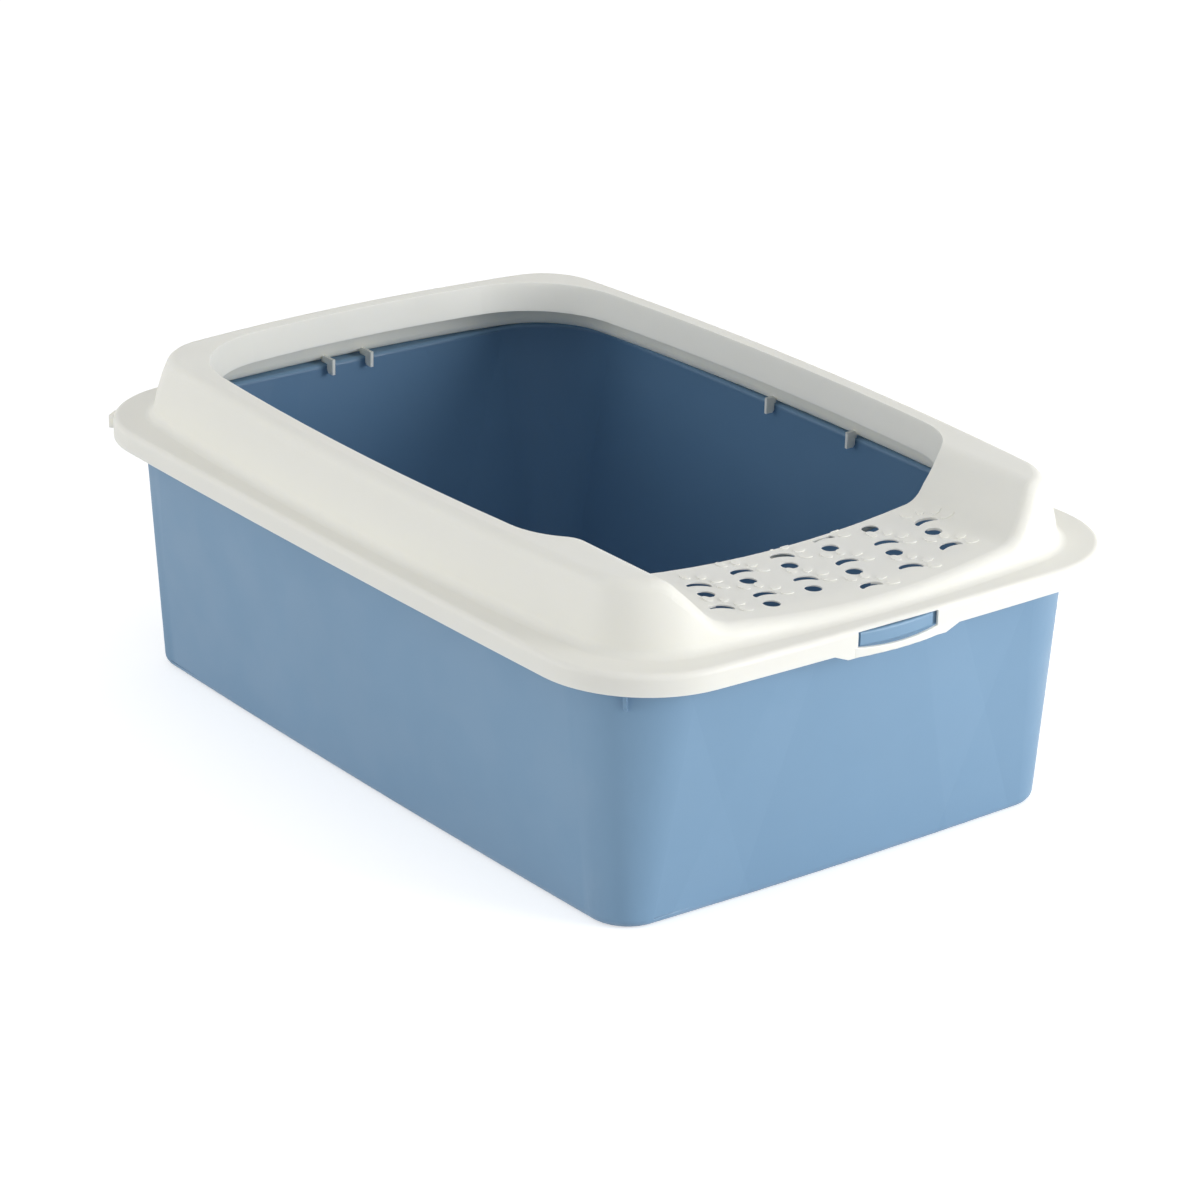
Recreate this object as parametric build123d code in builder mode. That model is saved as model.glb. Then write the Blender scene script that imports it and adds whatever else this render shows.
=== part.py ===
from build123d import *
import os
from math import cos, radians, sin, sqrt, tan

# Litter tray: a deep blue bin, and a white rim frame that drops over its rim and lifts off upwards.
# X is the width, Y the length and Z is up. The low entry of the frame faces -Y.
# The origin lies on the floor, under the middle of the whole object.
# All sizes are in millimetres.

# Whole object, over the frame's skirt
frame_width = 393.0
frame_length = 569.0
tray_height = 165.0

# Bin, as one thin moulding whose drafted walls are set in from the frame's skirt
rim_inset_side = 15.75
rim_inset_end = 19.25
draft_side = 15.25
draft_end = 16.75
tray_bow = 3.2
tray_base_corner = 25.0
tray_rim_corner = 57.0
tray_wall = 2.2
tray_floor = 2.6
base_edge_radius = 6.0
floor_edge_radius = 9.0
rim_edge_radius = 2.6
foot_band = 16.0
foot_relief = 1.2

# Flange of the bin, which carries the frame
flange_thickness = 2.2
flange_lip_depth = 9.0
flange_lip_wall = 2.0
gusset_drop = 29.0
gusset_reach = 10.0
gusset_toe_reach = 6.0
gusset_thickness = 2.2

# Frame, as one thin shell that is open underneath
frame_corner = 68.5
frame_side_bow = 3.2
frame_end_bow = 4.3
frame_wall = 1.7
skirt_depth = 13.0
skirt_edge_radius = 3.5
seat_gap = 0.3
skirt_gap = 1.0

# Raised wall of the frame
ledge_side = 17.0
ledge_end = 15.2
raised_bow = 13.0
foot_corner = 52.0
foot_radius = 6.0
crease_rise = 26.0
crease_lean_side = 4.4
crease_lean_end = 7.4
crest_rise = 39.3
crest_lean_side = 8.6
crest_lean_end = 13.5
crest_corner = 41.5
crest_radius = 8.0

# Opening in the frame, with its hanging inner flange
rim_top_width = 12.8
rim_lip_depth = 18.5
rim_lip_lean = 3.2
opening_corner = 66.0
step_depth = 93.5
step_edge_bow = 4.5
step_corner = 48.0
step_lip_depth = 4.5

# Low entry step with its side wings
step_drop = 33.3
step_valley_radius = 943.0
wing_inset = 63.5
wing_angle = 48.0
wing_top_radius = 16.0
wing_foot_radius = 21.0

# Paw and drain holes of the step, on a slanted triangular grid
hole_pitch = 37.0
hole_slant = 11.2
hole_start_x = -81.8
hole_start_depth = 70.1
drain_diameter = 10.4
hole_land = 2.4
step_wall = 0.9
step_pocket_side = 88.0
step_pocket_end = 24.0
pad_shift = 15.1
pad_shift_angle = 67.5
pad_width = 15.0
pad_height = 12.2
pad_set_back = 1.6
pad_hollow_radius = 13.0
pad_hollow_depth = 1.4
pad_tip_radius = 0.8
paw_heading = 76.0
paw_swing = 9.0
toe_heading = 33.0
toe_length = 8.0
toe_width = 5.2
toe_ring = 13.8
toe_spread = 41.0
toe_height = 0.5
toe_root = 0.5
toe_count = 4
drain_rows = ((0, range(0, 5)), (1, range(1, 6)))
paw_rows = ((0, range(0, 4)), (1, range(0, 6)), (2, range(3, 6)))

# Clip windows of the frame, and the tongues of the bin that stand in them
window_width = 59.0
window_top_gap = 2.0
window_height = 8.8
window_sag = 2.0
tab_width = 72.0
tab_ramp = 10.0
tab_drop = 4.0
bar_bulge = 3.0
bar_wall = 2.0
tongue_gap = 3.0
tongue_height = 9.0
tongue_clearance = 0.45
tongue_set_down = 1.0
tongue_edge_radius = 1.6

# Locating fins under the frame
fin_thickness = 2.0
fin_reach = 6.5
fin_drop = 6.0
fin_rise = 4.5
fin_clearance = 0.7
fin_lead = 1.5
side_fin_spacing = 79.0
back_fin_spacing = 30.0

# Hooks on the back corners of the skirt
hook_angle = 53.5
hook_width = 10.0
hook_gap = 3.7
hook_thickness = 3.2
hook_drop = 4.0
hook_height = 8.6
hook_foot = 4.2

# Heights and sizes that follow
tray_rim_width = frame_width - 2 * rim_inset_side
tray_rim_length = frame_length - 2 * rim_inset_end
tray_base_width = tray_rim_width - 2 * draft_side
tray_base_length = tray_rim_length - 2 * draft_end
wing_half_width = frame_width / 2 - wing_inset
hole_start_y = -frame_length / 2 + hole_start_depth
ledge_height = tray_height + seat_gap + frame_wall
skirt_bottom = ledge_height - skirt_depth
crest_height = ledge_height + crest_rise
lip_height = crest_height - rim_lip_depth
step_height = crest_height - step_drop
raised_width = frame_width - 2 * ledge_side
raised_length = frame_length - 2 * ledge_end
opening_width = raised_width - 2 * (crest_lean_side + rim_top_width + rim_lip_lean)
opening_length = raised_length - 2 * (crest_lean_end + rim_top_width + rim_lip_lean)
entry_reach = frame_length / 2 + bar_bulge + frame_wall

# Margins for cutting past the surfaces and for picking faces, and the tilt of the faces that count as tops
cut_margin = 6.0
pick_margin = 0.1
corner_margin = 1.0
top_tilt = 0.55


def bulged_outline(width, length, side_bow, end_bow, corner):
    """A rounded rectangle whose four sides bulge outwards."""
    corner_x = width / 2 - side_bow
    corner_y = length / 2 - end_bow
    with BuildSketch() as face:
        with BuildLine():
            ThreePointArc((corner_x, -corner_y), (width / 2, 0), (corner_x, corner_y))
            ThreePointArc((corner_x, corner_y), (0, length / 2), (-corner_x, corner_y))
            ThreePointArc((-corner_x, corner_y), (-width / 2, 0), (-corner_x, -corner_y))
            ThreePointArc((-corner_x, -corner_y), (0, -length / 2), (corner_x, -corner_y))
        make_face()
        fillet(face.vertices(), corner)
    return face.sketch


def tray_outline(height, inset):
    """Plan of the bin's drafted wall at a height, drawn in by an inset."""
    share = height / tray_height
    width = tray_base_width + share * (tray_rim_width - tray_base_width)
    length = tray_base_length + share * (tray_rim_length - tray_base_length)
    corner = tray_base_corner + share * (tray_rim_corner - tray_base_corner)
    return bulged_outline(width - 2 * inset, length - 2 * inset, tray_bow, tray_bow, corner - inset)


def frame_outline(inset):
    """Plan of the frame's skirt, drawn in by an inset."""
    return bulged_outline(
        frame_width - 2 * inset,
        frame_length - 2 * inset,
        frame_side_bow,
        frame_end_bow,
        frame_corner - inset,
    )


def raised_outline(side_lean, end_lean, corner, inset):
    """Plan of the frame's raised wall where it leans in, drawn in by an inset."""
    width = raised_width - 2 * (side_lean + inset)
    length = raised_length - 2 * (end_lean + inset)
    return bulged_outline(width, length, raised_bow, raised_bow, corner - inset)


def opening_outline(grow):
    """Plan of the frame's opening: bulged sides and back, and the inner edge of the step in front."""
    half_width = opening_width / 2 + grow
    half_length = opening_length / 2 + grow
    back_x = half_width - raised_bow
    back_y = half_length - raised_bow
    side_radius = (back_y**2 + raised_bow**2) / (2 * raised_bow)
    front = -raised_length / 2 + step_depth - grow
    front_y = front + step_edge_bow
    front_x = half_width - side_radius + sqrt(side_radius**2 - front_y**2)
    with BuildSketch() as face:
        with BuildLine():
            ThreePointArc((front_x, front_y), (half_width, 0), (back_x, back_y))
            ThreePointArc((back_x, back_y), (0, half_length), (-back_x, back_y))
            ThreePointArc((-back_x, back_y), (-half_width, 0), (-front_x, front_y))
            ThreePointArc((-front_x, front_y), (0, front), (front_x, front_y))
        make_face()
        fillet(face.vertices().group_by(Axis.Y)[0], step_corner + grow)
        fillet(face.vertices().group_by(Axis.Y)[-1], opening_corner + grow)
    return face.sketch


def entry_profile(inset):
    """The air above the frame seen from the front: flat over the crest, with the low entry cut in."""
    crest = crest_height - inset
    top = crest_height + 2 * cut_margin
    half = wing_half_width + inset * tan(radians(wing_angle / 2))
    floor = step_height - inset
    fall = crest - floor
    toe = half - fall / tan(radians(wing_angle))
    valley_radius = step_valley_radius + inset
    side = frame_width / 2 + cut_margin
    with BuildSketch(Plane.XZ) as face:
        with BuildLine():
            Polyline(
                (-side, crest),
                (-half, crest),
                (-toe, floor),
                (toe, floor),
                (half, crest),
                (side, crest),
                (side, top),
                (-side, top),
                close=True,
            )
        make_face()
        with Locations((0, floor + valley_radius)):
            Circle(valley_radius, mode=Mode.INTERSECT)
        reach = half + corner_margin
        corners = face.vertices().filter_by_position(Axis.X, -reach, reach)
        fillet(corners.group_by(Axis.Y)[0], wing_foot_radius + inset)
        corners = face.vertices().filter_by_position(Axis.X, -reach, reach)
        fillet(corners.group_by(Axis.Y)[-1], wing_top_radius - inset)
    return face.sketch


def entry_air(inset):
    """The air above the front half of the frame, with the low entry, drawn down by an inset."""
    with BuildPart() as air:
        add(entry_profile(inset))
        extrude(amount=entry_reach, dir=(0, -1, 0))
    return air.part


def frame_body(inset):
    """The frame as a full solid without its opening, drawn in all over by an inset."""
    over = (crest_rise + cut_margin - crease_rise) / (crest_rise - crease_rise)
    over_side = crease_lean_side + over * (crest_lean_side - crease_lean_side)
    over_end = crease_lean_end + over * (crest_lean_end - crease_lean_end)
    crease_corner = foot_corner + (crest_corner - foot_corner) * crease_rise / crest_rise
    over_corner = crease_corner + over * (crest_corner - crease_corner)
    ledge = ledge_height - inset
    crest = crest_height - inset
    with BuildPart() as body:
        with BuildSketch(Plane.XY.offset(skirt_bottom - inset)):
            add(frame_outline(inset))
        extrude(amount=skirt_depth)
        fillet(body.faces().sort_by(Axis.Z)[-1].edges(), skirt_edge_radius - inset)
        with BuildSketch(Plane.XY.offset(ledge)):
            add(raised_outline(0, 0, foot_corner, inset))
        with BuildSketch(Plane.XY.offset(ledge + crease_rise)):
            add(raised_outline(crease_lean_side, crease_lean_end, crease_corner, inset))
        with BuildSketch(Plane.XY.offset(crest + cut_margin)):
            add(raised_outline(over_side, over_end, over_corner, inset))
        loft()
        level_faces = body.faces().filter_by(Axis.Z)
        ledge_face = level_faces.filter_by_position(Axis.Z, ledge - pick_margin, ledge + pick_margin)[0]
        fillet(ledge_face.inner_wires()[0].edges(), foot_radius + inset)
        add(entry_air(inset), mode=Mode.SUBTRACT)
        with BuildSketch(Plane.XY.offset(crest)):
            with Locations((0, frame_length / 2)):
                Rectangle(2 * frame_width, frame_length)
        extrude(amount=2 * cut_margin, mode=Mode.SUBTRACT)
        tops = body.faces().filter_by(lambda face: face.normal_at().Z > top_tilt)
        tops = tops.filter_by_position(Axis.Z, step_height - cut_margin / 2, crest + pick_margin)
        top_edges = tops.edges()
        rim_edges = top_edges.filter_by(lambda edge: top_edges.count(edge) == 1)
        rim_edges = rim_edges.filter_by(lambda edge: edge.bounding_box().size.Y > pick_margin)
        fillet(rim_edges, crest_radius - inset)
    return body.part


def above_crest(grow, start, end):
    """The opening as a solid between two heights, leaning outwards above the lip."""
    rise = rim_lip_lean / rim_lip_depth
    with BuildPart() as air:
        with BuildSketch(Plane.XY.offset(start)):
            add(opening_outline(grow + rise * (start - lip_height)))
        with BuildSketch(Plane.XY.offset(end)):
            add(opening_outline(grow + rise * (end - lip_height)))
        loft(ruled=True)
    return air.part


def step_layer(top_inset, bottom_inset):
    """A layer that follows the entry's surface between two insets below it."""
    with BuildPart() as layer:
        add(entry_air(bottom_inset))
        add(entry_air(top_inset), mode=Mode.SUBTRACT)
    return layer.part


# Hollow of the frame, less the flange that hangs round the opening
with BuildPart() as step_flange:
    with BuildSketch(Plane.XY.offset(lip_height - rim_lip_depth - step_lip_depth)):
        add(opening_outline(frame_wall))
    extrude(amount=crest_rise)
    add(step_layer(0, frame_wall + step_lip_depth), mode=Mode.INTERSECT)

with BuildPart() as hollow:
    add(frame_body(frame_wall))
    add(above_crest(frame_wall, lip_height, crest_height + cut_margin), mode=Mode.SUBTRACT)
    add(step_flange.part, mode=Mode.SUBTRACT)

with BuildPart() as opening:
    add(above_crest(0, lip_height, crest_height + cut_margin))
    with BuildSketch(Plane.XY.offset(lip_height)):
        add(opening_outline(0))
    extrude(amount=-crest_rise)


def corner_centre(outline):
    """Centre of the round corner of an outline on the +X, +Y side."""
    corners = outline.edges().group_by(SortBy.RADIUS)[0]
    return corners.sort_by(lambda edge: edge.center().X + edge.center().Y)[-1].arc_center


def grid_point(row, column, shift, angle):
    """A place on the step's slanted triangular grid, shifted along an angle."""
    across = radians(hole_slant)
    down = radians(hole_slant - 120)
    shift_x = shift * cos(radians(angle))
    shift_y = shift * sin(radians(angle))
    x = hole_start_x + hole_pitch * (column * cos(across) + row * cos(down)) + shift_x
    y = hole_start_y + hole_pitch * (column * sin(across) + row * sin(down)) + shift_y
    return x, y


def paw_places():
    """Places of the paws on the step, each with its swing, which changes sides from one to the next."""
    places = []
    for row, columns in paw_rows:
        for column in columns:
            swing = paw_swing if column % 2 else -paw_swing
            places.append((*grid_point(row, column, pad_shift, pad_shift_angle), swing))
    return places


def pad_hole():
    """Plan of a paw's pad: a half round hole, slightly hollow behind."""
    with BuildSketch() as pad:
        with Locations((0, -pad_set_back)):
            Ellipse(pad_width / 2, pad_height / 2)
        with Locations((0, -pad_hollow_depth - pad_hollow_radius)):
            Circle(pad_hollow_radius, mode=Mode.SUBTRACT)
        fillet(pad.vertices(), pad_tip_radius)
    return pad.sketch


def bulged_strip(half_width, face_reach, bulge, depth):
    """Plan of a strip across the front, from a bulging outer face inwards."""
    with BuildSketch() as strip:
        with BuildLine():
            ThreePointArc((-half_width, -face_reach), (0, -face_reach - bulge), (half_width, -face_reach))
            Line((half_width, -face_reach), (half_width, -face_reach + depth))
            ThreePointArc(
                (half_width, -face_reach + depth),
                (0, -face_reach - bulge + depth),
                (-half_width, -face_reach + depth),
            )
            Line((-half_width, -face_reach + depth), (-half_width, -face_reach))
        make_face()
    return strip.sketch


# Round drain holes and the paws' pad holes, cut straight down through the step
with BuildPart() as step_holes:
    with BuildSketch(Plane.XY.offset(ledge_height)):
        for row, columns in drain_rows:
            with Locations(*[grid_point(row, column, 0, 0) for column in columns]):
                Circle(drain_diameter / 2)
        for pad_x, pad_y, swing in paw_places():
            with Locations(Location((pad_x, pad_y, 0), (0, 0, paw_heading + swing - 90))):
                add(pad_hole())
        add(opening_outline(hole_land), mode=Mode.SUBTRACT)
    extrude(amount=crest_rise / 2)

# Raised toes of the paws, which follow the step's surface
with BuildPart() as toes:
    with BuildSketch(Plane.XY.offset(ledge_height)):
        for pad_x, pad_y, swing in paw_places():
            for number in range(toe_count):
                turn = toe_heading + swing + toe_spread * (number - (toe_count - 1) / 2)
                toe_x = pad_x + toe_ring * cos(radians(turn))
                toe_y = pad_y + toe_ring * sin(radians(turn))
                with Locations(Location((toe_x, toe_y, 0), (0, 0, turn))):
                    Ellipse(toe_length / 2, toe_width / 2)
    extrude(amount=crest_rise / 2)
    add(step_layer(-toe_height, toe_root), mode=Mode.INTERSECT)

# Shallow pocket under the step, which leaves a thin wall round the holes
with BuildPart() as step_pocket:
    add(step_layer(step_wall, 2 * frame_wall))
    with BuildSketch(Plane.XY.offset(skirt_bottom)):
        with Locations((0, -raised_length / 2 + step_pocket_end)):
            Rectangle(2 * step_pocket_side, step_depth, align=(Align.CENTER, Align.MIN))
        add(opening_outline(hole_land), mode=Mode.SUBTRACT)
    extrude(amount=crest_rise, mode=Mode.INTERSECT)

# Clip windows, front and back: the air, and the skirt's low tab with its bulging bar
window_top = ledge_height - window_top_gap
window_bottom = window_top - window_height
tab_bottom = skirt_bottom - tab_drop
with BuildPart() as window_air:
    with BuildSketch(Plane.XZ.offset(frame_length / 2 - 2 * frame_wall)):
        with Locations((0, (window_top + tab_bottom - tab_drop) / 2)):
            Rectangle(window_width, window_top - tab_bottom + tab_drop)
    extrude(amount=2 * bar_bulge)
    mirror(about=Plane.XZ)

with BuildPart() as window_tabs:
    with BuildSketch(Plane.XY.offset(tab_bottom)):
        add(frame_outline(0))
        add(frame_outline(frame_wall), mode=Mode.SUBTRACT)
    extrude(amount=skirt_depth / 2)
    with BuildSketch(Plane.XZ):
        with BuildLine():
            Polyline(
                (-tab_width / 2 - tab_ramp, skirt_bottom),
                (-tab_width / 2, tab_bottom),
                (tab_width / 2, tab_bottom),
                (tab_width / 2 + tab_ramp, skirt_bottom),
                (tab_width / 2 + tab_ramp, skirt_bottom + frame_wall),
                (-tab_width / 2 - tab_ramp, skirt_bottom + frame_wall),
                close=True,
            )
        make_face()
    extrude(amount=frame_length, both=True, mode=Mode.INTERSECT)

with BuildPart() as window_bars:
    bar_half = window_width / 2 + frame_wall
    with BuildSketch(Plane.XY.offset(tab_bottom)):
        add(bulged_strip(bar_half, frame_length / 2, bar_bulge, bar_wall))
    extrude(amount=window_bottom - tab_bottom)
    with BuildSketch(Plane.XZ):
        with BuildLine():
            ThreePointArc(
                (-bar_half, window_bottom),
                (0, window_bottom - window_sag),
                (bar_half, window_bottom),
            )
            Polyline(
                (bar_half, window_bottom),
                (bar_half, tab_bottom),
                (-bar_half, tab_bottom),
                (-bar_half, window_bottom),
            )
        make_face()
    extrude(amount=frame_length, mode=Mode.INTERSECT)
    fillet(window_bars.faces().sort_by(Axis.Y)[0].edges().filter_by(Axis.Z, reverse=True), bar_wall / 3)
    mirror(about=Plane.XZ)

# Fins that hang inside the bin's rim, two on each long side and two at the back
fin_seat = ledge_height - frame_wall
fin_top = fin_seat + fin_rise
fin_bottom = fin_seat - fin_drop


def fin_profile(outer, root):
    """Profile of a fin, from its inner edge out to the raised wall that carries it."""
    with BuildSketch(Plane.XZ.offset(-fin_thickness / 2)) as profile:
        with BuildLine():
            Polyline(
                (outer - fin_reach, fin_top),
                (outer - fin_reach, fin_bottom),
                (outer - fin_lead, fin_bottom),
                (outer, fin_bottom + fin_lead),
                (outer, fin_seat),
                (root, fin_seat),
                (root, fin_top),
                close=True,
            )
        make_face()
    return profile.sketch


rim_share = fin_bottom / tray_height
side_fin_outer = (
    (tray_base_width + rim_share * (tray_rim_width - tray_base_width)) / 2 - tray_wall - fin_clearance
)
end_fin_outer = (
    (tray_base_length + rim_share * (tray_rim_length - tray_base_length)) / 2 - tray_wall - fin_clearance
)
with BuildPart() as side_fins:
    add(fin_profile(side_fin_outer, raised_width / 2 - frame_wall / 2))
    extrude(amount=fin_thickness, dir=(0, -1, 0))
with BuildPart() as end_fins:
    add(fin_profile(end_fin_outer, raised_length / 2 - frame_wall / 2))
    extrude(amount=fin_thickness, dir=(0, -1, 0))

# Hooks, open upwards, on the skirt's back corners
hook_centre = corner_centre(frame_outline(0))
hook_plane = Plane(
    origin=(hook_centre.X, hook_centre.Y, 0),
    x_dir=(cos(radians(hook_angle)), sin(radians(hook_angle)), 0),
    z_dir=(sin(radians(hook_angle)), -cos(radians(hook_angle)), 0),
)
hook_bottom = skirt_bottom - hook_drop
with BuildPart() as hooks:
    with BuildSketch(hook_plane):
        with BuildLine():
            Polyline(
                (frame_corner - frame_wall, skirt_bottom + hook_foot),
                (frame_corner - frame_wall, hook_bottom),
                (frame_corner + hook_gap + hook_thickness, hook_bottom),
                (frame_corner + hook_gap + hook_thickness, hook_bottom + hook_height),
                (frame_corner + hook_gap, hook_bottom + hook_height),
                (frame_corner + hook_gap, hook_bottom + hook_foot),
                (frame_corner, hook_bottom + hook_foot),
                (frame_corner, skirt_bottom + hook_foot),
                close=True,
            )
        make_face()
    extrude(amount=hook_width / 2, both=True)
    fillet(hooks.edges().filter_by(Axis.Z, reverse=True).group_by(Axis.Z)[-1], frame_wall / 4)
    mirror(about=Plane.YZ)

# Frame: one thin shell with its step, windows, fins and hooks
with BuildPart() as frame:
    add(frame_body(0))
    add(hollow.part, mode=Mode.SUBTRACT)
    add(opening.part, mode=Mode.SUBTRACT)
    add(step_pocket.part, mode=Mode.SUBTRACT)
    add(toes.part)
    add(step_holes.part, mode=Mode.SUBTRACT)
    add(opening.part, mode=Mode.SUBTRACT)
    add(window_tabs.part)
    add(window_air.part, mode=Mode.SUBTRACT)
    add(window_bars.part)
    for fin_y in (-side_fin_spacing / 2, side_fin_spacing / 2):
        for turn in (0, 180):
            with Locations(Location((0, fin_y, 0), (0, 0, turn))):
                add(side_fins.part)
    for fin_x in (-back_fin_spacing / 2, back_fin_spacing / 2):
        with Locations(Location((fin_x, 0, 0), (0, 0, 90))):
            add(end_fins.part)
    add(hooks.part)
frame.part.label = "rim_frame"

# Air inside the bin
with BuildPart() as tray_air:
    with BuildSketch(Plane.XY.offset(tray_floor)):
        add(tray_outline(tray_floor, tray_wall))
    with BuildSketch(Plane.XY.offset(tray_height)):
        add(tray_outline(tray_height, tray_wall))
    loft(ruled=True)
    fillet(tray_air.faces().sort_by(Axis.Z)[0].edges(), floor_edge_radius)

# Gusset under the flange, upright across each round corner of the bin
gusset_top = tray_height - flange_thickness / 2
gusset_bottom = gusset_top - gusset_drop
gusset_centre = corner_centre(tray_outline(gusset_top, 0))
gusset_foot_outline = tray_outline(gusset_bottom, 0)
gusset_foot_centre = corner_centre(gusset_foot_outline)
gusset_foot_corner = tray_base_corner + (tray_rim_corner - tray_base_corner) * gusset_bottom / tray_height
gusset_foot = (
    (gusset_foot_centre.X - gusset_centre.X + gusset_foot_centre.Y - gusset_centre.Y) / sqrt(2)
    + gusset_foot_corner
)
gusset_plane = Plane(
    origin=(gusset_centre.X, gusset_centre.Y, 0),
    x_dir=(cos(radians(45)), sin(radians(45)), 0),
    z_dir=(sin(radians(45)), -cos(radians(45)), 0),
)
with BuildPart() as gussets:
    with BuildSketch(gusset_plane):
        with BuildLine():
            Polyline(
                (gusset_foot - tray_wall, gusset_top),
                (gusset_foot - tray_wall, gusset_bottom),
                (gusset_foot + gusset_toe_reach / 2, gusset_bottom + gusset_toe_reach / 2),
                (gusset_foot + gusset_toe_reach, gusset_bottom + gusset_toe_reach),
                (gusset_foot + gusset_reach, gusset_top),
                close=True,
            )
        make_face()
    extrude(amount=gusset_thickness / 2, both=True)
    mirror(about=Plane.YZ)
    mirror(about=Plane.XZ)

# Tongues of the bin that stand in the frame's windows
tongue_top = tray_height - tongue_set_down
tongue_half = window_width / 2 - tongue_gap
tongue_bulge = bar_bulge * (tongue_half / bar_half) ** 2
tongue_face = frame_length / 2 + bar_bulge - bar_wall - tongue_clearance - tongue_bulge
with BuildPart() as tongues:
    with BuildSketch(Plane.XY.offset(tongue_top - tongue_height)):
        add(bulged_strip(tongue_half, tongue_face, tongue_bulge, 2 * flange_lip_wall))
    extrude(amount=tongue_height)
    front_edges = tongues.faces().sort_by(Axis.Y)[0].edges().filter_by(Axis.Z, reverse=True)
    fillet(front_edges, tongue_edge_radius)
    mirror(about=Plane.XZ)

# Bin: drafted walls, a flange with a hanging lip, and a shallow hollow under its floor
flange_bottom = tray_height - flange_lip_depth
with BuildPart() as tray:
    with BuildSketch():
        add(tray_outline(0, 0))
    with BuildSketch(Plane.XY.offset(tray_height)):
        add(tray_outline(tray_height, 0))
    loft(ruled=True)
    fillet(tray.faces().sort_by(Axis.Z)[0].edges(), base_edge_radius)
    with BuildSketch(Plane.XY.offset(flange_bottom)):
        add(frame_outline(frame_wall + skirt_gap))
    extrude(amount=flange_lip_depth)
    fillet(tray.faces().sort_by(Axis.Z)[-1].edges(), flange_lip_wall / 2)
    with BuildSketch(Plane.XY.offset(flange_bottom)):
        add(frame_outline(frame_wall + skirt_gap + flange_lip_wall))
        add(tray_outline(tray_height - flange_thickness, 0), mode=Mode.SUBTRACT)
    extrude(amount=flange_lip_depth - flange_thickness, mode=Mode.SUBTRACT)
    add(gussets.part)
    add(tongues.part)
    add(tray_air.part, mode=Mode.SUBTRACT)
    rim_face = tray.faces().filter_by(Axis.Z).sort_by(Axis.Z)[-1]
    fillet(rim_face.inner_wires()[0].edges(), rim_edge_radius)
    with BuildSketch():
        add(tray_outline(0, foot_band))
    extrude(amount=foot_relief, mode=Mode.SUBTRACT)
tray.part.label = "tray"

os.makedirs("parts", exist_ok=True)
for piece in (tray.part, frame.part):
    export_step(piece, f"parts/{piece.label}.step")
    box = piece.bounding_box()
    print(piece.label, round(piece.volume / 1000, 1), "ml", box)
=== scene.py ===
"""Looks of an open litter tray: a blue bin and a warm white rim frame, in a plain white studio.

Lengths are in metres and angles in degrees, and a pattern's scale is in waves per metre.
"""

import logging
import math
from dataclasses import dataclass, field
from enum import Enum
from typing import Any, Callable

import bpy
from mathutils import Matrix, Vector


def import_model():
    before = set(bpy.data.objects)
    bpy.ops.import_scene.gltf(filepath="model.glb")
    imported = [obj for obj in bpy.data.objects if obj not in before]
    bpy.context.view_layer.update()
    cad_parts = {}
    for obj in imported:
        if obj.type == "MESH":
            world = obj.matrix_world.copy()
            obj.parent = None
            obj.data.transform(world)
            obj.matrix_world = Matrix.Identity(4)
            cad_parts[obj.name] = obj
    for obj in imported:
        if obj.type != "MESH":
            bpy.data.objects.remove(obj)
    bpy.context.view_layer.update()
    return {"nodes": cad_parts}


LOG = logging.getLogger("litter_tray")

Colour = tuple[float, float, float]
Point = tuple[float, float, float]
Socket = bpy.types.NodeSocket

WHITE: Colour = (1.0, 1.0, 1.0)

# A Mix node has a set of sockets for each kind of value, and these are the colour ones.
MIX_SHARE, MIX_FIRST, MIX_SECOND, MIX_RESULT = 0, 6, 7, 2


class Gloss(Enum):
    """How rough a moulded surface is."""

    SATIN = 0.42
    SOFT = 0.5


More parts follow.
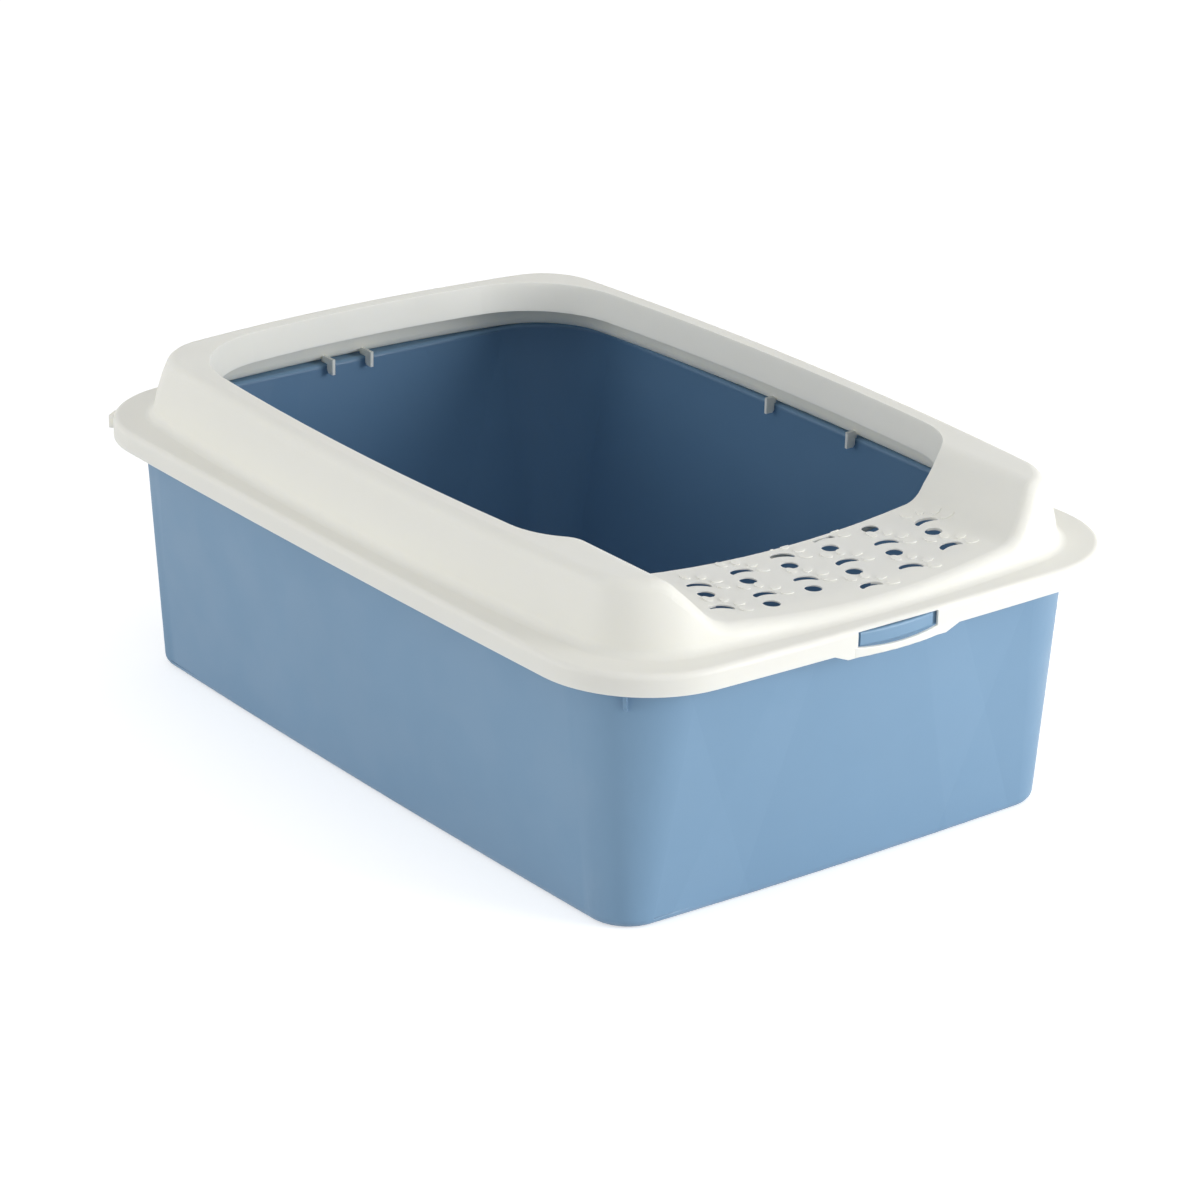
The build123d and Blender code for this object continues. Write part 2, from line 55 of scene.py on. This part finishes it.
class NodeTree:
    """A small helper that adds shader nodes and links them."""

    def __init__(self, owner: bpy.types.Material | bpy.types.World) -> None:
        """Empties the owner's node tree.

        Args:
            owner: The material or world that the nodes belong to.
        """
        owner.use_nodes = True
        self.tree = owner.node_tree
        self.tree.nodes.clear()

    def node(
        self, kind: str, inputs: dict[str | int, Any] | None = None, **settings: Any
    ) -> bpy.types.Node:
        """Adds a node, with its settings and its inputs.

        Args:
            kind: The node's type name.
            inputs: Socket names or numbers, with a value or with the output that feeds them.
            settings: Attributes of the node itself.

        Returns:
            The new node.
        """
        made = self.tree.nodes.new(kind)
        for key, value in settings.items():
            setattr(made, key, value)
        for key, value in (inputs or {}).items():
            self.feed(made.inputs[key], value)
        return made

    def feed(self, socket: Socket, value: Any) -> None:
        """Links an output to a socket, or sets the socket's own value.

        Args:
            socket: The input socket.
            value: An output socket or a plain value.
        """
        if isinstance(value, Socket):
            self.tree.links.new(value, socket)
        else:
            socket.default_value = value

    def math(self, operation: str, *values: Any) -> Socket:
        """Adds a Math node.

        Args:
            operation: The node's operation.
            values: Its inputs, as values or outputs.

        Returns:
            The node's output.
        """
        made = self.node("ShaderNodeMath", dict(enumerate(values)), operation=operation)
        return made.outputs[0]

    def ramp(
        self, value: Any, low: float, high: float, start: float = 0.0, end: float = 1.0
    ) -> Socket:
        """Maps a stretch of a value smoothly onto another.

        Args:
            value: The output that is read.
            low: Where the stretch starts.
            high: Where the stretch ends.
            start: The result at low.
            end: The result at high.

        Returns:
            The mapped output.
        """
        made = self.node(
            "ShaderNodeMapRange",
            {"Value": value, "From Min": low, "From Max": high, "To Min": start, "To Max": end},
            interpolation_type="SMOOTHSTEP",
        )
        return made.outputs["Result"]

    def noise(self, place: Socket, scale: float, detail: float = 2.0) -> Socket:
        """Adds a noise pattern.

        Args:
            place: Where the pattern is read.
            scale: Its scale.
            detail: How many finer layers it has.

        Returns:
            The pattern's value.
        """
        made = self.node("ShaderNodeTexNoise", {"Vector": place, "Scale": scale, "Detail": detail})
        return made.outputs["Fac"]

    def blend(self, share: Any, first: Any, second: Any, mode: str = "MIX") -> Socket:
        """Mixes two colours.

        Args:
            share: How much of the second colour shows.
            first: The first colour.
            second: The second colour.
            mode: The way they are mixed.

        Returns:
            The mixed colour.
        """
        made = self.node(
            "ShaderNodeMix",
            {MIX_SHARE: share, MIX_FIRST: first, MIX_SECOND: second},
            data_type="RGBA",
            blend_type=mode,
        )
        return made.outputs[MIX_RESULT]


Relief = Callable[[NodeTree, Socket], Socket]


def rgba(colour: Colour) -> tuple[float, float, float, float]:
    """Gives a colour an alpha of 1."""
    return (*colour, 1.0)


@dataclass(frozen=True)
class MouldedPlastic:
    """Moulded plastic with mottled colour, fine grain, slow waves, a soft painted highlight on the
    edges and, where set, painted shade inside.
    """

    name: str
    colour: Colour
    shade: Colour
    # The colour of the fine specks, and of the painted highlight on the edges.
    highlight_and_speck: Colour
    gloss: Gloss
    noise_low: float = 0.3
    noise_high: float = 0.7
    mottle_scale: float = 9.0
    mottle_detail: float = 4.0
    patch_scale: float = 27.0
    patch_detail: float = 3.0
    patch_polish: float = 0.05
    patch_dulling: float = 0.06
    grain_scale: float = 1400.0
    grain_depth: float = 0.00002
    wave_scale: float = 11.0
    wave_detail: float = 1.0
    wave_depth: float = 0.0004
    edge_radius: float = 0.0014
    edge_samples: int = 4
    edge_sharp: float = 0.82
    edge_flat: float = 0.99
    # The strength of the painted highlight on the edges.
    edge_highlight: float = 0.35
    speck_scale: float = 260.0
    speck_core: float = 0.06
    speck_rim: float = 0.12
    speck_share: float = 0.05
    specular: float = 0.4
    glow_through: float = 0.0
    glow_tint: Colour = (1.0, 0.95, 0.8)
    glow_depth: float = 0.004
    # Painted shade: the faces inside the hollow are multiplied by this colour, and white gives
    # none.
    inner_painted_shade: Colour = WHITE
    inner_eye: Point = (0.0, 0.0, 0.35)
    inner_blend: float = 0.02
    inner_top: float = 0.163
    inner_fade: float = 0.001

    def build(self, relief: Relief | None = None) -> bpy.types.Material:
        """Makes the material.

        Args:
            relief: Adds a height in metres to the surface, from the object's coordinates.

        Returns:
            The finished material.
        """
        material = bpy.data.materials.new(self.name)
        nodes = NodeTree(material)
        place = nodes.node("ShaderNodeTexCoord").outputs["Object"]
        shader = nodes.node(
            "ShaderNodeBsdfPrincipled",
            {
                "Base Color": self.surface_colour(nodes, place),
                "Roughness": self.surface_roughness(nodes, place),
                "Specular IOR Level": self.specular,
                "Subsurface Weight": self.glow_through,
                "Subsurface Radius": self.glow_tint,
                "Subsurface Scale": self.glow_depth,
                "Normal": self.surface_normal(nodes, place, relief),
            },
        )
        nodes.node("ShaderNodeOutputMaterial", {"Surface": shader.outputs["BSDF"]})
        return material

    def surface_colour(self, nodes: NodeTree, place: Socket) -> Socket:
        """Mottles the colour, darkens it inside with painted shade, and lightens the edges with a
        painted highlight and a few fine specks.

        Args:
            nodes: The material's nodes.
            place: The object's coordinates.

        Returns:
            The colour.
        """
        pattern = nodes.noise(place, self.mottle_scale, self.mottle_detail)
        mottle = nodes.ramp(pattern, self.noise_low, self.noise_high)
        colour = nodes.blend(mottle, rgba(self.shade), rgba(self.colour))
        # Painted shade: the faces inside the hollow are darkened by the inner colour.
        inner = self.painted_shade_mask(nodes, place)
        colour = nodes.blend(inner, colour, rgba(self.inner_painted_shade), "MULTIPLY")
        # Painted highlight: the rounded edges are lightened towards the speck colour.
        colour = nodes.blend(self.edge_highlight_mask(nodes), colour, rgba(self.highlight_and_speck))
        specks = nodes.node("ShaderNodeTexVoronoi", {"Vector": place, "Scale": self.speck_scale})
        away = specks.outputs["Distance"]
        speck = nodes.ramp(away, self.speck_core, self.speck_rim, self.speck_share, 0.0)
        return nodes.blend(speck, colour, rgba(self.highlight_and_speck))

    def painted_shade_mask(self, nodes: NodeTree, place: Socket) -> Socket:
        """Finds the faces that look into the hollow, below the rim, where painted shade darkens the
        colour.

        Args:
            nodes: The material's nodes.
            place: The object's coordinates.

        Returns:
            1 on the inner faces, and 0 on the outer ones and on the rim.
        """
        away = nodes.node(
            "ShaderNodeVectorMath", {0: place, 1: self.inner_eye}, operation="SUBTRACT"
        )
        facing = nodes.node(
            "ShaderNodeVectorMath",
            {0: away.outputs["Vector"], 1: nodes.node("ShaderNodeNewGeometry").outputs["Normal"]},
            operation="DOT_PRODUCT",
        )
        inward = nodes.ramp(facing.outputs["Value"], -self.inner_blend, self.inner_blend, 1.0, 0.0)
        height = nodes.node("ShaderNodeSeparateXYZ", {"Vector": place}).outputs["Z"]
        below = nodes.ramp(height, self.inner_top, self.inner_top + self.inner_fade, 1.0, 0.0)
        return nodes.math("MULTIPLY", inward, below)

    def edge_highlight_mask(self, nodes: NodeTree) -> Socket:
        """Finds the outer edges, which are lightened as a painted highlight.

        Args:
            nodes: The material's nodes.

        Returns:
            The share of the painted highlight.
        """
        rounded = nodes.node(
            "ShaderNodeBevel", {"Radius": self.edge_radius}, samples=self.edge_samples
        )
        flat = nodes.node("ShaderNodeNewGeometry").outputs["Normal"]
        turn = nodes.node(
            "ShaderNodeVectorMath", {0: rounded.outputs["Normal"], 1: flat}, operation="DOT_PRODUCT"
        )
        flatness = turn.outputs["Value"]
        return nodes.ramp(flatness, self.edge_sharp, self.edge_flat, self.edge_highlight, 0.0)

    def surface_roughness(self, nodes: NodeTree, place: Socket) -> Socket:
        """Varies the roughness in soft patches.

        Args:
            nodes: The material's nodes.
            place: The object's coordinates.

        Returns:
            The roughness.
        """
        patches = nodes.noise(place, self.patch_scale, self.patch_detail)
        smooth = self.gloss.value - self.patch_polish
        rough = self.gloss.value + self.patch_dulling
        return nodes.ramp(patches, self.noise_low, self.noise_high, smooth, rough)

    def surface_normal(self, nodes: NodeTree, place: Socket, relief: Relief | None) -> Socket:
        """Roughens the surface with the mould's grain, the wall's slow waves and the relief.

        Args:
            nodes: The material's nodes.
            place: The object's coordinates.
            relief: Adds a height in metres to the surface.

        Returns:
            The normal.
        """
        grain = nodes.math("MULTIPLY", nodes.noise(place, self.grain_scale), self.grain_depth)
        swell = nodes.noise(place, self.wave_scale, self.wave_detail)
        waves = nodes.math("MULTIPLY", swell, self.wave_depth)
        height = nodes.math("ADD", grain, waves)
        if relief:
            height = nodes.math("ADD", height, relief(nodes, place))
        bump = nodes.node("ShaderNodeBump", {"Strength": 1.0, "Distance": 1.0, "Height": height})
        return bump.outputs["Normal"]


def dress(piece: bpy.types.Object, material: bpy.types.Material) -> None:
    """Gives every material slot of a piece one material.

    Args:
        piece: The object to dress.
        material: Its new material.
    """
    if not piece.material_slots:
        piece.data.materials.append(material)
    for slot in piece.material_slots:
        slot.material = material


@dataclass(frozen=True)
class Fold:
    """A slanted line on an end wall, past which the wall turns outwards (1) or inwards (-1)."""

    top_x: float
    top_z: float
    foot_x: float
    foot_z: float
    turn: float


@dataclass
class Bin:
    """The blue bin, with the faint facets of its end walls."""

    node: bpy.types.Object
    finish: MouldedPlastic = MouldedPlastic(
        name="bin_blue",
        colour=(0.196, 0.335, 0.492),
        shade=(0.188, 0.323, 0.476),
        # The colour of the fine specks and of the painted highlight on the edges.
        highlight_and_speck=(0.3, 0.44, 0.6),
        gloss=Gloss.SATIN,
        # Painted shade that darkens the inside of the bin.
        inner_painted_shade=(0.60, 0.69, 0.77),
    )
    facet_slope: float = 0.06
    facet_reach: float = 0.215
    facet_fade: float = 0.03
    facet_folds: tuple[Fold, ...] = (
        Fold(top_x=-0.131, top_z=0.150, foot_x=-0.0755, foot_z=0.016, turn=1.0),
        Fold(top_x=-0.061, top_z=0.150, foot_x=-0.125, foot_z=0.005, turn=-1.0),
        Fold(top_x=-0.038, top_z=0.150, foot_x=-0.0755, foot_z=0.016, turn=1.0),
        Fold(top_x=0.038, top_z=0.150, foot_x=0.0755, foot_z=0.016, turn=-1.0),
        Fold(top_x=0.067, top_z=0.150, foot_x=0.129, foot_z=0.005, turn=1.0),
        Fold(top_x=0.122, top_z=0.150, foot_x=0.0755, foot_z=0.016, turn=1.0),
    )

    def relief(self, nodes: NodeTree, place: Socket) -> Socket:
        """Folds the end walls along slanted lines, on either side of a flat middle.

        Args:
            nodes: The material's nodes.
            place: The object's coordinates.

        Returns:
            The height, in metres.
        """
        axes = nodes.node("ShaderNodeSeparateXYZ", {"Vector": place}).outputs
        height: Any = 0.0
        for fold in self.facet_folds:
            rise, run = fold.top_z - fold.foot_z, fold.foot_x - fold.top_x
            outward = math.copysign(1.0, fold.top_x) / math.hypot(run, rise)
            normal_x, normal_z = outward * rise, outward * run
            along = nodes.math("MULTIPLY", axes["X"], normal_x)
            along = nodes.math("MULTIPLY_ADD", axes["Z"], normal_z, along)
            away = nodes.math("SUBTRACT", along, normal_x * fold.top_x + normal_z * fold.top_z)
            beyond = nodes.math("MAXIMUM", away, 0.0)
            height = nodes.math("MULTIPLY_ADD", beyond, fold.turn * self.facet_slope, height)
        reach = nodes.math("ABSOLUTE", axes["Y"])
        end = nodes.ramp(reach, self.facet_reach, self.facet_reach + self.facet_fade)
        return nodes.math("MULTIPLY", height, end)

    def build(self) -> list[bpy.types.Object]:
        """Dresses the bin.

        Returns:
            The bin's pieces.
        """
        dress(self.node, self.finish.build(self.relief))
        return [self.node]


@dataclass
class RimFrame:
    """The warm white frame that drops over the bin's rim."""

    node: bpy.types.Object
    finish: MouldedPlastic = MouldedPlastic(
        name="frame_white",
        colour=(0.90, 0.89, 0.81),
        shade=(0.885, 0.875, 0.795),
        # The colour of the fine specks and of the painted highlight on the edges.
        highlight_and_speck=(0.93, 0.925, 0.875),
        gloss=Gloss.SOFT,
        # A stronger painted highlight on the frame's edges.
        edge_highlight=0.5,
        glow_through=0.4,
        glow_depth=0.005,
    )
    gate_mark: Point = (0.128, 0.242, 0.191)
    gate_radius: float = 0.0016
    gate_core: float = 0.7
    gate_depth: float = 0.0005

    def relief(self, nodes: NodeTree, place: Socket) -> Socket:
        """Sinks the small round mark that the mould's gate leaves on the inner flange.

        Args:
            nodes: The material's nodes.
            place: The object's coordinates.

        Returns:
            The height, in metres.
        """
        reach = nodes.node(
            "ShaderNodeVectorMath", {0: place, 1: self.gate_mark}, operation="DISTANCE"
        )
        core = self.gate_core * self.gate_radius
        return nodes.ramp(reach.outputs["Value"], core, self.gate_radius, -self.gate_depth, 0.0)

    def build(self) -> list[bpy.types.Object]:
        """Dresses the frame.

        Returns:
            The frame's pieces.
        """
        dress(self.node, self.finish.build(self.relief))
        return [self.node]


@dataclass(frozen=True)
class Lamp:
    """A soft round lamp that faces the object, with its power in watts."""

    name: str
    azimuth: float
    height: float
    distance: float
    size: float
    power: float

    def hang(self, target: Vector) -> None:
        """Hangs the lamp.

        Args:
            target: The point that it faces.
        """
        light = bpy.data.lights.new(self.name, "AREA")
        light.shape = "DISK"
        light.size = self.size
        light.energy = self.power
        lamp = bpy.data.objects.new(self.name, light)
        bpy.context.scene.collection.objects.link(lamp)
        turn = math.radians(self.azimuth)
        lamp.location = (
            target.x + self.distance * math.sin(turn),
            target.y - self.distance * math.cos(turn),
            self.height,
        )
        lamp.rotation_euler = (lamp.location - target).to_track_quat("Z", "Y").to_euler()


@dataclass
class Studio:
    """A white floor, a white world, soft lamps and a camera, with its lens in millimetres."""

    target: Vector = field(default_factory=lambda: Vector((-0.0191, -0.0378, 0.1)))
    azimuth: float = -37.8
    elevation: float = 21.9
    roll: float = 1.3
    distance: float = 2.4518
    sensor: float = 36.0
    lens: float = 122.02
    floor_size: float = 60.0
    floor_drop: float = 0.0003
    floor_albedo: Colour = (0.8, 0.8, 0.8)
    floor_glow: float = 0.55
    sky: float = 0.59
    backdrop: float = 1.0
    lamps: tuple[Lamp, ...] = (
        Lamp("front_lamp", azimuth=33.0, height=0.65, distance=2.2, size=1.2, power=30.0),
        Lamp("left_lamp", azimuth=-106.0, height=0.85, distance=3.0, size=1.5, power=20.5),
        Lamp("top_lamp", azimuth=0.0, height=2.4, distance=0.05, size=1.8, power=3.0),
    )

    def build(self) -> None:
        """Sets up the floor, the world, the lamps and the camera."""
        self.lay_floor()
        self.light_world()
        for lamp in self.lamps:
            lamp.hang(self.target)
        self.set_camera()
        bpy.context.scene.view_settings.view_transform = "Standard"

    def seen(self, nodes: NodeTree) -> Socket:
        """Marks the rays that show the background: the camera's, and those of gloss and glass.

        Args:
            nodes: The nodes of the floor or the world.

        Returns:
            1 for such a ray, and 0 for the rest.
        """
        path = nodes.node("ShaderNodeLightPath").outputs
        shown = nodes.math("MAXIMUM", path["Is Camera Ray"], path["Is Glossy Ray"])
        return nodes.math("MAXIMUM", shown, path["Is Transmission Ray"])

    def lay_floor(self) -> None:
        """Lays the white floor, which keeps the object's shadow, just under the object's foot."""
        bpy.ops.object.select_all(action="DESELECT")
        level = (0.0, 0.0, -self.floor_drop)
        bpy.ops.mesh.primitive_plane_add(size=self.floor_size, location=level)
        floor = bpy.context.active_object
        floor.name = "studio_floor"
        white = bpy.data.materials.new("studio_white")
        nodes = NodeTree(white)
        matte = nodes.node("ShaderNodeBsdfDiffuse", {"Color": rgba(self.floor_albedo)})
        glow = nodes.math("MULTIPLY", self.seen(nodes), self.floor_glow)
        shine = nodes.node("ShaderNodeEmission", {"Color": rgba(WHITE), "Strength": glow})
        both = nodes.node("ShaderNodeAddShader", {0: matte.outputs[0], 1: shine.outputs[0]})
        nodes.node("ShaderNodeOutputMaterial", {"Surface": both.outputs[0]})
        dress(floor, white)

    def light_world(self) -> None:
        """Makes the world white where it is seen, and a soft even light on the object."""
        world = bpy.data.worlds.new("studio_sky")
        bpy.context.scene.world = world
        nodes = NodeTree(world)
        soft, white = (
            nodes.node("ShaderNodeBackground", {"Color": rgba(WHITE), "Strength": strength})
            for strength in (self.sky, self.backdrop)
        )
        mix = nodes.node(
            "ShaderNodeMixShader", {0: self.seen(nodes), 1: soft.outputs[0], 2: white.outputs[0]}
        )
        nodes.node("ShaderNodeOutputWorld", {"Surface": mix.outputs[0]})

    def set_camera(self) -> None:
        """Puts the camera at the photograph's viewpoint."""
        camera = bpy.data.cameras.new("photo_camera")
        camera.sensor_width = self.sensor
        camera.lens = self.lens
        seat = bpy.data.objects.new("photo_camera", camera)
        bpy.context.scene.collection.objects.link(seat)
        turn = (
            Matrix.Rotation(math.radians(self.azimuth), 4, "Z")
            @ Matrix.Rotation(math.radians(90.0 - self.elevation), 4, "X")
            @ Matrix.Rotation(math.radians(self.roll), 4, "Z")
        )
        seat.matrix_world = Matrix.Translation(self.target + self.distance * turn.col[2].xyz) @ turn
        bpy.context.scene.camera = seat


def main() -> None:
    """Builds the bin, the frame and the studio."""
    logging.basicConfig(level=logging.INFO)
    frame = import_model()
    for assembly in (Bin(frame["nodes"]["tray"]), RimFrame(frame["nodes"]["rim_frame"])):
        for piece in assembly.build():
            LOG.info("%s: %d faces", piece.name, len(piece.data.polygons))
    Studio().build()


if __name__ == "__main__":
    main()
